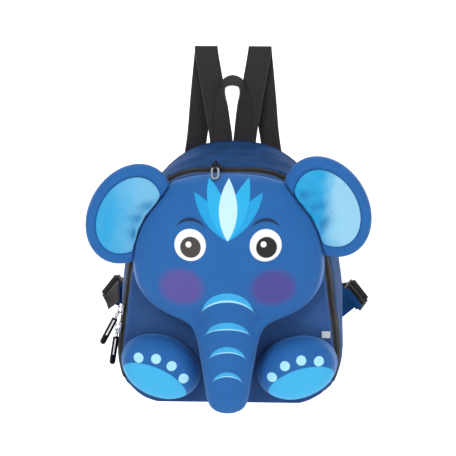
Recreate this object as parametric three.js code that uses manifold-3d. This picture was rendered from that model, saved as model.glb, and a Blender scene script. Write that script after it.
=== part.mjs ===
// A toddler's backpack in the shape of an elephant, hanging by its two shoulder straps.
// Millimetres. +Z is up, the face looks along -Y, the wearer's back is at +Y.
// The origin is the hang point, midway between the top folds of the two straps.
import * as THREE from 'three';
import { mergeVertices } from 'three/addons/utils/BufferGeometryUtils.js';
import Module from 'manifold-3d';

const wasm = await Module();
wasm.setup();

// Places in the bag's own frame, whose y = 0 plane halves the bag's depth
const HANG_Y = 54.5;
const FRONT_Y = -48;
const BACK_Y = 47.3;
const BASE_Z = -370;
const WIDEST_Z = -290;
const GAP = 0.3;

// Bag shell
const WALL = 2.4;
const PANEL_EDGE = 1.2;
const LOWER_POWER = 4.3;
const LOWER_END_Z = -374;
const ROUND_STEPS = 60;
const GUSSET_ROWS_Y = [-16, 4, 25];
const LINING_ROW_Y = 10;
// The gusset is sewn from two halves that meet in the middle of the top and of the base
const GUSSET_HALVES = [
  { side: 'left', sign: -1 },
  { side: 'right', sign: 1 },
];
const HALF_SPACE = [400, 400, 800];
// Outline at each depth; lean is how much narrower the sides stand at the top than at the widest line
const BAG_SECTIONS = [
  { y: -48, halfWidth: 108.5, shiftX: -1, topZ: -121, power: 3.9, lean: 0.19 },
  { y: -45, halfWidth: 110, shiftX: -1, topZ: -120.4, power: 3.9, lean: 0.19 },
  { y: -31, halfWidth: 117.2, shiftX: -0.8, topZ: -117.5, power: 3.8, lean: 0.19 },
  { y: -5, halfWidth: 119.8, shiftX: 0.7, topZ: -111.5, power: 2.95, lean: 0.07 },
  { y: 25, halfWidth: 120.2, shiftX: 1.6, topZ: -105.5, power: 2.6, lean: 0.04 },
  { y: 47.3, halfWidth: 115.5, shiftX: 2, topZ: -102, power: 2.4, lean: 0 },
];
// The lean goes on below the widest line for this share of the height above it
const LEAN_BELOW = 0.12;

// Zip band between the front panel and the gusset
const ZIP_FRONT_Y = -45.4;
const ZIP_BACK_Y = -31;
const ZIP_END_Z = -345;
const ZIP_TAPE = 2;
const COIL_HEIGHT = 1.6;
const COIL_Y = -38;
const COIL_HALF = 2.6;
const COIL_SLOPE = 0.5;
const ZIP_STEPS = 46;
const BOTTOM_STEPS = 18;

// Head and trunk: outline, back, widest line and front of the form at each height, and the
// extra height of the trunk's ridge over the face
const RIDGE_WIDTH = 30;
const FACE_POWER = 0.8;
const FLAT_POWER = 0.35;
const FACE_STEPS = 20;
const BEHIND_STEPS = 8;
const SEAT_Y = FRONT_Y - GAP;
const HEAD_ROWS = [
  { z: -121.5, halfWidth: 10, backY: SEAT_Y, rimY: -50.5, faceY: -53, ridge: 0 },
  { z: -123, halfWidth: 31, backY: SEAT_Y, rimY: -52, faceY: -58, ridge: 0 },
  { z: -126, halfWidth: 46, backY: SEAT_Y, rimY: -54, faceY: -64, ridge: 0 },
  { z: -130, halfWidth: 57.8, backY: SEAT_Y, rimY: -55, faceY: -68.5, ridge: 0 },
  { z: -138, halfWidth: 64.5, backY: SEAT_Y, rimY: -56, faceY: -75, ridge: 0 },
  { z: -147.5, halfWidth: 71.3, backY: SEAT_Y, rimY: -57, faceY: -80, ridge: 0 },
  { z: -164.5, halfWidth: 84.3, backY: SEAT_Y, rimY: -58, faceY: -87, ridge: 0 },
  { z: -181.5, halfWidth: 92.8, backY: SEAT_Y, rimY: -58, faceY: -91.5, ridge: 0.5 },
  { z: -198.7, halfWidth: 97.6, backY: SEAT_Y, rimY: -58, faceY: -94, ridge: 3 },
  { z: -215.8, halfWidth: 99.3, backY: SEAT_Y, rimY: -58, faceY: -94.5, ridge: 7 },
  { z: -233, halfWidth: 96.8, backY: SEAT_Y, rimY: -58, faceY: -93, ridge: 11.5 },
  { z: -246, halfWidth: 90.7, backY: SEAT_Y, rimY: -58, faceY: -90, ridge: 15.5 },
  { z: -257, halfWidth: 81.9, backY: -48.6, rimY: -58, faceY: -86.5, ridge: 19.5 },
  { z: -267, halfWidth: 66.2, backY: -50.5, rimY: -60, faceY: -84, ridge: 22 },
  { z: -273, halfWidth: 50.2, backY: -53.5, rimY: -64, faceY: -86, ridge: 20.5 },
  { z: -279, halfWidth: 38.5, backY: -57, rimY: -70, faceY: -92, ridge: 14.5 },
  { z: -291, halfWidth: 31.7, backY: -61, rimY: -78, faceY: -103, ridge: 3 },
  { z: -312, halfWidth: 27.4, backY: -64.5, rimY: -82, faceY: -104.5, ridge: 0 },
  { z: -333, halfWidth: 23.9, backY: -68, rimY: -84, faceY: -103, ridge: 0 },
  { z: -354, halfWidth: 20.6, backY: -71, rimY: -85, faceY: -100.5, ridge: 0 },
  { z: -361, halfWidth: 18, backY: -73, rimY: -85.5, faceY: -98.5, ridge: 0 },
  { z: -366, halfWidth: 13.5, backY: -76, rimY: -86, faceY: -95.5, ridge: 0 },
  { z: -368.5, halfWidth: 8, backY: -80, rimY: -86.5, faceY: -92, ridge: 0 },
];

// Ears and feet are pillows: an ellipse in the X-Z plane, with its inset at each depth
const PILLOW_STEPS = 40;
const EARS = [
  { side: 'left', centre: [-103.8, -164], turn: 60 },
  { side: 'right', centre: [102.3, -154.6], turn: 120 },
];
const EAR_SEMI = [56.3, 42.7];
const EAR_ROWS = [
  { inset: 4, y: SEAT_Y },
  { inset: 1, y: -50 },
  { inset: 0, y: -54 },
  { inset: 1.2, y: -58.5 },
  { inset: 4.5, y: -61.5 },
  { inset: 9, y: -62.5 },
];
const LINING_SEMI = [42.7, 30.7];
const LINING_ROWS = [
  { inset: 0.6, y: -57.9 },
  { inset: 0, y: -60 },
  { inset: 3, y: -62.6 },
  { inset: 9, y: -64.2 },
  { inset: 18, y: -65.2 },
];
const POCKET_END_Y = -70;
const POCKET_ROWS = [
  { inset: -GAP, y: LINING_ROWS[0].y + GAP },
  { inset: -GAP, y: POCKET_END_Y },
];
const FEET = [
  { side: 'left', centre: [-72, -328], turn: -25 },
  { side: 'right', centre: [72.4, -327.5], turn: 20 },
];
const FOOT_SEMI = [42.8, 32.8];
const FOOT_ROWS = [
  { inset: 3, y: SEAT_Y },
  { inset: 0.5, y: -52 },
  { inset: 0, y: -58 },
  { inset: 1.5, y: -66 },
  { inset: 6, y: -73.5 },
  { inset: 13, y: -78.5 },
  { inset: 22, y: -81 },
];

// Webbing: the strap's route on the +X side, from its seam over the top fold to near the buckle
const STRAP_WIDTH = 25;
const STRAP_THICKNESS = 1.7;
const STRAP_SPAN_STEPS = 3;
const STRAP_ROWS = [
  { at: [12.8, 50.4, -122], across: [1, 0, 0] },
  { at: [12.8, 50.9, -103], across: [1, 0, 0] },
  { at: [20.8, 51.4, -52], across: [1, 0, 0] },
  { at: [28.6, 51.5, -6], across: [1, 0, 0] },
  { at: [29, 52.3, -2.1], across: [1, 0, 0] },
  { at: [29.1, 54.5, -0.9], across: [1, 0, 0] },
  { at: [29.2, 56.7, -2.1], across: [1, 0, 0] },
  { at: [29.4, 57.5, -6], across: [1, 0, 0] },
  { at: [33.5, 59.5, -55], across: [1, 0, 0] },
  { at: [38, 62, -105], across: [1, 0, 0.05] },
  { at: [50, 67, -165], across: [0.98, 0, 0.2] },
  { at: [68, 73, -218], across: [0.9, 0, 0.42] },
  { at: [88, 78, -262], across: [0.7, 0.05, 0.7] },
  { at: [108, 80, -282], across: [0.15, 0.1, 0.98] },
  { at: [126, 76, -279], across: [-0.5, 0.05, 0.85] },
];

// Ladder-lock buckle: the turn of its width below the level, the lean of its length to the back,
// and the bars along its length
const BUCKLE_TURN = 52;
const BUCKLE_LEAN = 60;
const BUCKLE_WIDTH = 31;
const BUCKLE_THICKNESS = 3;
const BUCKLE_RAIL = 2.5;
const BUCKLE_BARS = { innerEnd: 3.6, middleStart: 10.6, middleEnd: 13.6, outerStart: 18, length: 21 };
// The strap's way round the buckle's bars: distance along it, height over its middle plane, and
// how far the strap's loose end has dropped
const THREADING = [
  { along: 27, over: 9, drop: 0 },
  { along: 25.2, over: 3.5, drop: 0 },
  { along: 23.6, over: -0.8, drop: 0 },
  { along: 21.2, over: -3.1, drop: 0 },
  { along: 18.3, over: -3, drop: 0 },
  { along: 16.2, over: -1.9, drop: 0 },
  { along: 15.6, over: 0, drop: 0 },
  { along: 15, over: 1.9, drop: 0 },
  { along: 12.9, over: 3, drop: 0 },
  { along: 11.3, over: 3, drop: 0 },
  { along: 9.2, over: 1.9, drop: 0 },
  { along: 8.6, over: 0, drop: 0 },
  { along: 8.2, over: -2.6, drop: 0 },
];
const SHORT_END = [
  { along: 7.4, over: -5.6, drop: 0 },
  { along: 4.5, over: -7.6, drop: 0 },
];
const LONG_END = [
  { along: 6.8, over: -5.4, drop: 0 },
  { along: 3, over: -6.7, drop: 0 },
  { along: -2, over: -7.6, drop: 1.5 },
  { along: -7, over: -8.4, drop: 5 },
  { along: -11, over: -9.2, drop: 10 },
];
const BUCKLES = [
  { side: 'left', sign: -1, at: [-128.2, 40, -274.5], looseEnd: LONG_END },
  { side: 'right', sign: 1, at: [131.5, 40, -277.5], looseEnd: SHORT_END },
];

// Cloth tab that carries the buckle
const TAB_THICKNESS = 2.4;
const TAB_BASE = { y: 37, z: -277.7, half: 20 };
const TAB_END_HALF = 9;
const SLEEVE_WIDTH = 24;
const SLEEVE_RADIUS = 4.2;
const SLEEVE_HOLE = 2.7;
const SLEEVE_SEGMENTS = 10;
const CUT_PAST = 2;

// Grab handle: the left half of its route; the twist turns its width from the front to the top
const HANDLE_WIDTH = 18;
const HANDLE_THICKNESS = 1.6;
const HANDLE_Y = 48.4;
const HANDLE_ROWS = [
  { at: [-9.8, HANDLE_Y, -122], across: [-1, 0, 0] },
  { at: [-9.8, HANDLE_Y, -103], across: [-1, 0, 0] },
  { at: [-11.2, HANDLE_Y - 2.2, -82], across: [-0.95, 0.3, 0] },
  { at: [-12, HANDLE_Y - 5.4, -61], across: [-0.75, 0.66, 0] },
  { at: [-10.8, HANDLE_Y - 7.8, -46.8], across: [-0.3, 0.93, 0.15] },
  { at: [-8.4, HANDLE_Y - 9, -38.6], across: [-0.12, 0.9, 0.4] },
  { at: [0, HANDLE_Y - 9.4, -35.4], across: [0, 0.86, 0.5] },
];

// Zip sliders and their pulls
const SLIDER = { long: 11, wide: 8, thick: 2 };
const BAIL = { half: 4, opening: 2.8, height: 4, clear: 3, wide: 2, root: 0.5 };
const PULL_DROP = 1.2;
const RING_SEGMENTS = 5;
const LINK = { length: 10, width: 6, wire: 1.4 };
const CLIP = { length: 32, width: 6.2, thick: 2.4 };
const SIDE_SLIDERS = [
  { name: 'upper', z: -271, swing: 23 },
  { name: 'lower', z: -290.4, swing: 2 },
];
const BROW_SLIDER = { x: -14, hang: [0, -0.997, -0.07], drop: [0, -0.64, -0.77] };
const BROW_LINK = { length: 20, width: 6, wire: 1.4 };
const BROW_TAB = { length: 16, width: 9, wire: 2.2, thick: 1.4 };

// Bare sewn tag beside the right foot
const LABEL = { at: [102.6, -293.6], size: [9, 0.6, 7.4] };

const COLOURS = {
  neoprene: { color: 0x2f6ab5, roughness: 0.75, metalness: 0 },
  navy: { color: 0x2a4a8c, roughness: 0.8, metalness: 0 },
  satin: { color: 0x46b4e6, roughness: 0.45, metalness: 0 },
  webbing: { color: 0x323030, roughness: 0.85, metalness: 0 },
  plastic: { color: 0x202022, roughness: 0.5, metalness: 0 },
  silver: { color: 0xb8bcc2, roughness: 0.3, metalness: 1 },
  tag: { color: 0x9aa0a8, roughness: 0.8, metalness: 0 },
};

const bag = new THREE.Group();
bag.position.y = -HANG_Y;

function addPart(name, geometry, look) {
  const mesh = new THREE.Mesh(geometry, new THREE.MeshStandardMaterial(COLOURS[look]));
  mesh.name = name;
  bag.add(mesh);
}

// Mixes the two rows of a table that lie either side of a value in its key column
function rowAt(rows, key, value) {
  const found = rows.findIndex((row) => row[key] >= value);
  const next = found < 0 ? rows.length - 1 : Math.max(found, 1);
  const before = rows[next - 1];
  const after = rows[next];
  const share = (value - before[key]) / (after[key] - before[key]);
  const mixed = {};
  for (const column of Object.keys(before)) {
    mixed[column] = THREE.MathUtils.lerp(before[column], after[column], share);
  }
  return mixed;
}

// Closed geometry from points and triangles, with its faces pointing out
function closedGeometry(points, triangles) {
  let volume = 0;
  for (let i = 0; i < triangles.length; i += 3) {
    const [a, b, c] = triangles.slice(i, i + 3).map((index) => points[index]);
    volume += a.dot(b.clone().cross(c));
  }
  const index = volume < 0 ? triangles.reverse() : triangles;
  const geometry = new THREE.BufferGeometry().setFromPoints(points);
  geometry.setIndex(index);
  geometry.computeVertexNormals();
  return geometry;
}

// Skin over rings of equal count: joined end to start as a loop, or capped at both ends
function loft(rings, isLoop = false) {
  const count = rings[0].length;
  const points = rings.flat();
  const triangles = [];
  const spans = isLoop ? rings.length : rings.length - 1;
  for (let i = 0; i < spans; i += 1) {
    const low = i * count;
    const high = ((i + 1) % rings.length) * count;
    for (let j = 0; j < count; j += 1) {
      const k = (j + 1) % count;
      triangles.push(low + j, high + j, high + k);
      triangles.push(low + j, high + k, low + k);
    }
  }
  if (!isLoop) {
    const last = (rings.length - 1) * count;
    const caps = [{ ring: rings[0], start: 0, turn: 1 }, { ring: rings.at(-1), start: last, turn: -1 }];
    for (const cap of caps) {
      const hub = points.length;
      const middle = cap.ring.reduce((sum, point) => sum.add(point), new THREE.Vector3());
      points.push(middle.divideScalar(count));
      for (let j = 0; j < count; j += 1) {
        const edge = [cap.start + j, cap.start + (j + 1) % count];
        triangles.push(hub, ...(cap.turn > 0 ? edge : edge.reverse()));
      }
    }
  }
  return closedGeometry(points, triangles);
}

function toSolid(geometry) {
  const bare = geometry.clone();
  bare.deleteAttribute('normal');
  bare.deleteAttribute('uv');
  const merged = mergeVertices(bare, 1e-4);
  const vertProperties = new Float32Array(merged.attributes.position.array);
  const triVerts = new Uint32Array(merged.index.array);
  return new wasm.Manifold(new wasm.Mesh({ numProp: 3, vertProperties, triVerts }));
}

function toGeometry(solid) {
  const mesh = solid.getMesh();
  const geometry = new THREE.BufferGeometry();
  geometry.setAttribute('position', new THREE.BufferAttribute(mesh.vertProperties, mesh.numProp));
  geometry.setIndex(new THREE.BufferAttribute(mesh.triVerts, 1));
  geometry.computeVertexNormals();
  return geometry;
}

function join(...pieces) {
  return toGeometry(pieces.map(toSolid).reduce((sum, next) => sum.add(next)));
}

function cut(piece, ...tools) {
  return toGeometry(tools.map(toSolid).reduce((rest, tool) => rest.subtract(tool), toSolid(piece)));
}

// Point of the bag's skin: angle round the outline, depth, and distance in from the skin
function bagPoint(angle, y, inset = 0) {
  const section = rowAt(BAG_SECTIONS, 'y', y);
  const cos = Math.cos(angle);
  const sin = Math.sin(angle);
  const power = 2 / (sin >= 0 ? section.power : LOWER_POWER);
  const rise = (sin >= 0 ? section.topZ - WIDEST_Z : WIDEST_Z - LOWER_END_Z) - inset;
  const z = WIDEST_Z + rise * Math.sign(sin) * Math.abs(sin) ** power;
  const height = Math.max((z - WIDEST_Z) / (section.topZ - WIDEST_Z), -LEAN_BELOW);
  const half = (section.halfWidth - inset) * (1 - section.lean * height);
  const x = section.shiftX + half * Math.sign(cos) * Math.abs(cos) ** power;
  return new THREE.Vector3(x, y, Math.max(z, BASE_Z + inset));
}

function anglesBetween(start, end, steps, withEnd) {
  const count = withEnd ? steps + 1 : steps;
  return Array.from({ length: count }, (_, i) => start + ((end - start) * i) / steps);
}

const ALL_ROUND = anglesBetween(0, 2 * Math.PI, ROUND_STEPS, false);

function bandGeometry(profile, angles, isLoop) {
  const rings = angles.map((angle) => profile.map((row) => bagPoint(angle, row.y, row.inset)));
  return loft(rings, isLoop);
}

function panelGeometry(rows) {
  return loft(rows.map((row) => ALL_ROUND.map((angle) => bagPoint(angle, row.y, row.inset))));
}

// Angle below the horizontal at which the zip band's outline reaches a height
function lowerAngle(z) {
  const share = (WIDEST_Z - z) / (WIDEST_Z - LOWER_END_Z);
  return Math.asin(share ** (LOWER_POWER / 2));
}

function buildShell() {
  addPart('front_panel', panelGeometry([
    { y: FRONT_Y, inset: PANEL_EDGE },
    { y: FRONT_Y + PANEL_EDGE, inset: 0 },
    { y: ZIP_FRONT_Y - GAP, inset: 0 },
  ]), 'navy');
  addPart('back_panel', panelGeometry([
    { y: BACK_Y - WALL - PANEL_EDGE / 2, inset: 0 },
    { y: BACK_Y - PANEL_EDGE, inset: 0 },
    { y: BACK_Y, inset: PANEL_EDGE },
  ]), 'navy');
  const gussetBack = BACK_Y - WALL - PANEL_EDGE / 2 - GAP;
  const ring = bandGeometry([
    { y: ZIP_BACK_Y + GAP, inset: 0 },
    ...GUSSET_ROWS_Y.map((y) => ({ y, inset: 0 })),
    { y: gussetBack, inset: 0 },
    { y: gussetBack, inset: WALL },
    { y: LINING_ROW_Y, inset: WALL },
    { y: ZIP_BACK_Y + GAP, inset: WALL },
  ], ALL_ROUND, true);
  for (const { side, sign } of GUSSET_HALVES) {
    const otherHalf = new THREE.BoxGeometry(...HALF_SPACE);
    otherHalf.translate((sign * (GAP - HALF_SPACE[0])) / 2, 0, WIDEST_Z);
    addPart(`gusset_${side}`, cut(ring, otherHalf), 'navy');
  }
}

function buildZip() {
  const end = lowerAngle(ZIP_END_Z);
  const gapAngle = GAP / (WIDEST_Z - LOWER_END_Z);
  const coilOuter = COIL_HALF;
  const coilInner = COIL_HALF - COIL_SLOPE;
  addPart('main_zip', bandGeometry([
    { y: ZIP_FRONT_Y, inset: 0 },
    { y: COIL_Y - coilOuter, inset: 0 },
    { y: COIL_Y - coilInner, inset: -COIL_HEIGHT },
    { y: COIL_Y + coilInner, inset: -COIL_HEIGHT },
    { y: COIL_Y + coilOuter, inset: 0 },
    { y: ZIP_BACK_Y, inset: 0 },
    { y: ZIP_BACK_Y, inset: ZIP_TAPE },
    { y: ZIP_FRONT_Y, inset: ZIP_TAPE },
  ], anglesBetween(-end, Math.PI + end, ZIP_STEPS, true), false), 'webbing');
  const stripStart = Math.PI + end + gapAngle;
  const stripEnd = 2 * Math.PI - end - gapAngle;
  addPart('bottom_strip', bandGeometry([
    { y: ZIP_FRONT_Y, inset: 0 },
    { y: COIL_Y, inset: 0 },
    { y: ZIP_BACK_Y, inset: 0 },
    { y: ZIP_BACK_Y, inset: ZIP_TAPE },
    { y: ZIP_FRONT_Y, inset: ZIP_TAPE },
  ], anglesBetween(stripStart, stripEnd, BOTTOM_STEPS, true), false), 'navy');
}

// Head and trunk as horizontal sections; grow makes the larger form that clears its neighbours
function headGeometry(grow = 0) {
  const rings = HEAD_ROWS.map((row) => {
    const half = row.halfWidth + grow;
    const front = anglesBetween(0, Math.PI, FACE_STEPS, true).map((angle) => {
      const x = half * Math.cos(angle);
      const dome = (row.faceY - grow - row.rimY) * Math.sin(angle) ** FACE_POWER;
      const ridge = row.ridge * Math.exp(-((x / RIDGE_WIDTH) ** 2)) * Math.sin(angle);
      return new THREE.Vector3(x, row.rimY + dome - ridge, row.z);
    });
    const behind = anglesBetween(Math.PI, 2 * Math.PI, BEHIND_STEPS, false).slice(1).map((angle) => {
      const depth = (row.backY + grow - row.rimY) * Math.abs(Math.sin(angle)) ** FLAT_POWER;
      return new THREE.Vector3(half * Math.cos(angle), row.rimY + depth, row.z);
    });
    return [...front, ...behind];
  });
  return loft(rings);
}

function pillowGeometry({ centre, turn }, semi, rows) {
  const lean = THREE.MathUtils.degToRad(turn);
  const rings = rows.map((row) => anglesBetween(0, 2 * Math.PI, PILLOW_STEPS, false).map((angle) => {
    const along = (semi[0] - row.inset) * Math.cos(angle);
    const across = (semi[1] - row.inset) * Math.sin(angle);
    const x = centre[0] + along * Math.cos(lean) - across * Math.sin(lean);
    const z = centre[1] + along * Math.sin(lean) + across * Math.cos(lean);
    return new THREE.Vector3(x, row.y, z);
  }));
  return loft(rings);
}

function buildFace() {
  addPart('head', headGeometry(), 'neoprene');
  const clearance = headGeometry(GAP);
  for (const ear of EARS) {
    const plate = pillowGeometry(ear, EAR_SEMI, EAR_ROWS);
    const pocket = pillowGeometry(ear, LINING_SEMI, POCKET_ROWS);
    addPart(`ear_${ear.side}`, cut(plate, clearance, pocket), 'neoprene');
    const lining = pillowGeometry(ear, LINING_SEMI, LINING_ROWS);
    addPart(`ear_lining_${ear.side}`, cut(lining, clearance), 'satin');
  }
  for (const foot of FEET) {
    addPart(`foot_${foot.side}`, pillowGeometry(foot, FOOT_SEMI, FOOT_ROWS), 'neoprene');
  }
}

// Corners of a square, in half sides
const SQUARE = [[-1, -1], [1, -1], [1, 1], [-1, 1]];

// Flat webbing along a smooth route; each row gives a point and the direction of the width
function ribbonGeometry(rows, width, thickness) {
  const route = new THREE.CatmullRomCurve3(rows.map((row) => new THREE.Vector3(...row.at)));
  const sides = new THREE.CatmullRomCurve3(rows.map((row) => new THREE.Vector3(...row.across)));
  const steps = (rows.length - 1) * STRAP_SPAN_STEPS;
  const rings = anglesBetween(0, 1, steps, true).map((share) => {
    const middle = route.getPoint(share);
    const tangent = route.getTangent(share);
    const side = sides.getPoint(share);
    side.addScaledVector(tangent, -side.dot(tangent)).setLength(width / 2);
    const normal = tangent.clone().cross(side).setLength(thickness / 2);
    return SQUARE.map(
      ([across, over]) => middle.clone().addScaledVector(side, across).addScaledVector(normal, over),
    );
  });
  return loft(rings);
}

const mirrored = ([x, y, z]) => [-x, y, z];

// Buckle's axes: its width, its length and its height, and its corner
function buckleAxes({ sign, at }) {
  const lean = THREE.MathUtils.degToRad(BUCKLE_LEAN);
  const turn = THREE.MathUtils.degToRad(BUCKLE_TURN);
  const back = new THREE.Vector3(0, 1, 0);
  const out = new THREE.Vector3(sign * Math.sin(turn), 0, Math.cos(turn));
  const wide = new THREE.Vector3(sign * Math.cos(turn), 0, -Math.sin(turn));
  const long = out.clone().multiplyScalar(Math.cos(lean)).addScaledVector(back, Math.sin(lean));
  const over = out.clone().multiplyScalar(-Math.sin(lean)).addScaledVector(back, Math.cos(lean));
  return { wide, long, over, at: new THREE.Vector3(...at) };
}

function placeByAxes(geometry, across, along, at) {
  const up = across.clone().cross(along);
  const frame = new THREE.Matrix4().makeBasis(across, along, up).setPosition(at);
  return geometry.applyMatrix4(frame);
}

function rectangle(PathClass, halfWidth, start, end) {
  const path = new PathClass();
  path.moveTo(-halfWidth, start);
  path.lineTo(halfWidth, start);
  path.lineTo(halfWidth, end);
  path.lineTo(-halfWidth, end);
  path.closePath();
  return path;
}

function extruded(shape, thickness, curveSegments) {
  const settings = { depth: thickness, bevelEnabled: false, curveSegments };
  const geometry = new THREE.ExtrudeGeometry(shape, settings);
  return geometry.translate(0, 0, -thickness / 2);
}

function buckleGeometry(axes) {
  const bars = BUCKLE_BARS;
  const inside = BUCKLE_WIDTH / 2 - BUCKLE_RAIL;
  const outline = rectangle(THREE.Shape, BUCKLE_WIDTH / 2, 0, bars.length);
  outline.holes.push(rectangle(THREE.Path, inside, bars.innerEnd, bars.middleStart));
  outline.holes.push(rectangle(THREE.Path, inside, bars.middleEnd, bars.outerStart));
  return placeByAxes(extruded(outline, BUCKLE_THICKNESS, 1), axes.wide, axes.long, axes.at);
}

// Cloth triangle from the bag's side to a sleeve round the buckle's inner bar
function tabGeometry(axes, sign) {
  const section = rowAt(BAG_SECTIONS, 'y', TAB_BASE.y);
  const seat = section.shiftX + sign * (section.halfWidth + GAP);
  const barMiddle = axes.at.clone().addScaledVector(axes.long, BUCKLE_BARS.innerEnd / 2);
  const base = new THREE.Vector3(seat, TAB_BASE.y, TAB_BASE.z);
  const down = new THREE.Vector3(0, 0, -TAB_BASE.half);
  const bar = axes.wide.clone().multiplyScalar(TAB_END_HALF);
  const depth = new THREE.Vector3(0, TAB_THICKNESS / 2, 0);
  const ring = (middle, half) => SQUARE.map(
    ([along, over]) => middle.clone().addScaledVector(half, along).addScaledVector(depth, over),
  );
  const triangle = loft([ring(base, down), ring(barMiddle, bar)]);
  const upright = axes.over.clone().multiplyScalar(sign);
  const rod = (radius, length) => {
    const round = new THREE.Shape().absarc(0, 0, radius, 0, 2 * Math.PI);
    return placeByAxes(extruded(round, length, SLEEVE_SEGMENTS), axes.long, upright, barMiddle);
  };
  return cut(join(triangle, rod(SLEEVE_RADIUS, SLEEVE_WIDTH)), rod(SLEEVE_HOLE, BUCKLE_WIDTH + CUT_PAST));
}

function buildStraps() {
  for (const buckle of BUCKLES) {
    const { side, sign } = buckle;
    const axes = buckleAxes(buckle);
    const route = STRAP_ROWS.map((row) => ({
      at: sign < 0 ? mirrored(row.at) : row.at,
      across: sign < 0 ? mirrored(row.across) : row.across,
    }));
    for (const row of [...THREADING, ...buckle.looseEnd]) {
      const at = axes.at.clone().addScaledVector(axes.long, row.along);
      at.addScaledVector(axes.over, row.over);
      at.z -= row.drop;
      route.push({ at: at.toArray(), across: axes.wide.clone().negate().toArray() });
    }
    addPart(`strap_${side}`, ribbonGeometry(route, STRAP_WIDTH, STRAP_THICKNESS), 'webbing');
    addPart(`strap_tab_${side}`, tabGeometry(axes, sign), 'navy');
    addPart(`buckle_${side}`, buckleGeometry(axes), 'plastic');
  }
  const rightHalf = HANDLE_ROWS.slice(0, -1).reverse().map((row) => ({
    at: mirrored(row.at),
    across: mirrored(row.across),
  }));
  const loop = [...HANDLE_ROWS, ...rightHalf];
  addPart('handle', ribbonGeometry(loop, HANDLE_WIDTH, HANDLE_THICKNESS), 'webbing');
}

// Slider body with the bridge that its pull hangs on: x along the zip, y out from it
function sliderGeometry() {
  const inner = COIL_HEIGHT + GAP;
  const top = inner + SLIDER.thick;
  const block = rectangle(THREE.Shape, SLIDER.long / 2, inner, top);
  const bridge = rectangle(THREE.Shape, BAIL.half, top - BAIL.root, top + BAIL.height);
  bridge.holes.push(rectangle(THREE.Path, BAIL.opening, top, top + BAIL.clear));
  return join(extruded(block, SLIDER.wide, 1), extruded(bridge, BAIL.wide, 1));
}

// Outline with round ends: x across, its top at y = 0, reaching down to -length
function traceLong(path, { length, width }, radius) {
  path.absarc(0, -width / 2, radius, 0, Math.PI);
  path.absarc(0, width / 2 - length, radius, Math.PI, 2 * Math.PI);
  path.closePath();
  return path;
}

function longPlate(size) {
  return extruded(traceLong(new THREE.Shape(), size, size.width / 2), size.thick, RING_SEGMENTS);
}

function longRing(size) {
  const outline = traceLong(new THREE.Shape(), size, size.width / 2);
  outline.holes.push(traceLong(new THREE.Path(), size, size.width / 2 - size.wire));
  return extruded(outline, size.thick ?? size.wire, RING_SEGMENTS);
}

// Pull: a link through the slider's bridge, and below it a body turned to face the front
function pullGeometry({ top, side, hang, drop, link, body }) {
  const ring = placeByAxes(longRing(link), side, hang.clone().negate(), top);
  const face = hang.clone().cross(side).normalize();
  const start = top.clone().addScaledVector(hang, link.length - link.wire);
  return join(ring, placeByAxes(body, face, drop.clone().negate(), start));
}

function buildSliders() {
  const top = COIL_HEIGHT + GAP + SLIDER.thick;
  const section = rowAt(BAG_SECTIONS, 'y', COIL_Y);
  const front = rowAt(BAG_SECTIONS, 'y', ZIP_FRONT_Y);
  const back = rowAt(BAG_SECTIONS, 'y', ZIP_BACK_Y);
  const depth = ZIP_BACK_Y - ZIP_FRONT_Y;

  const slope = (section.halfWidth * section.lean) / (section.topZ - WIDEST_Z);
  const up = new THREE.Vector3(slope, 0, 1).normalize();
  const across = new THREE.Vector3(front.halfWidth - back.halfWidth, depth, 0);
  const out = up.clone().cross(across).normalize();
  for (const slider of SIDE_SLIDERS) {
    const x = section.shiftX - section.halfWidth + slope * (slider.z - WIDEST_Z);
    const at = new THREE.Vector3(x, COIL_Y, slider.z);
    addPart(`slider_${slider.name}`, placeByAxes(sliderGeometry(), up, out, at), 'silver');
    const swing = THREE.MathUtils.degToRad(slider.swing);
    const hang = out.clone().multiplyScalar(Math.sin(swing)).addScaledVector(up, -Math.cos(swing));
    const hung = at.clone().addScaledVector(out, top + BAIL.clear / 2);
    hung.addScaledVector(up, LINK.wire / 2 + PULL_DROP - BAIL.opening);
    const side = up.clone().cross(out);
    addPart(`pull_${slider.name}`, pullGeometry({
      top: hung, side, hang, drop: hang, link: LINK, body: longPlate(CLIP),
    }), 'silver');
  }

  const along = new THREE.Vector3(1, 0, 0);
  const over = new THREE.Vector3(0, front.topZ - back.topZ, depth).normalize();
  const at = new THREE.Vector3(BROW_SLIDER.x, COIL_Y, section.topZ);
  addPart('slider_brow', placeByAxes(sliderGeometry(), along, over, at), 'silver');
  const hang = new THREE.Vector3(...BROW_SLIDER.hang).normalize();
  const drop = new THREE.Vector3(...BROW_SLIDER.drop).normalize();
  const hung = at.clone().addScaledVector(over, top + (BAIL.clear + BAIL.height) / 2);
  hung.addScaledVector(hang, -BROW_LINK.width / 2);
  const side = along.clone().cross(hang);
  addPart('pull_brow', pullGeometry({
    top: hung, side, hang, drop, link: BROW_LINK, body: longRing(BROW_TAB),
  }), 'silver');
}

function buildLabel() {
  const tag = new THREE.BoxGeometry(...LABEL.size);
  tag.translate(LABEL.at[0], SEAT_Y - LABEL.size[1] / 2, LABEL.at[1]);
  addPart('side_label', tag, 'tag');
}

buildShell();
buildZip();
buildFace();
buildStraps();
buildSliders();
buildLabel();

export default bag;
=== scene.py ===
"""Looks of a toddler's elephant backpack that hangs by its shoulder straps."""

import math

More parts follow.
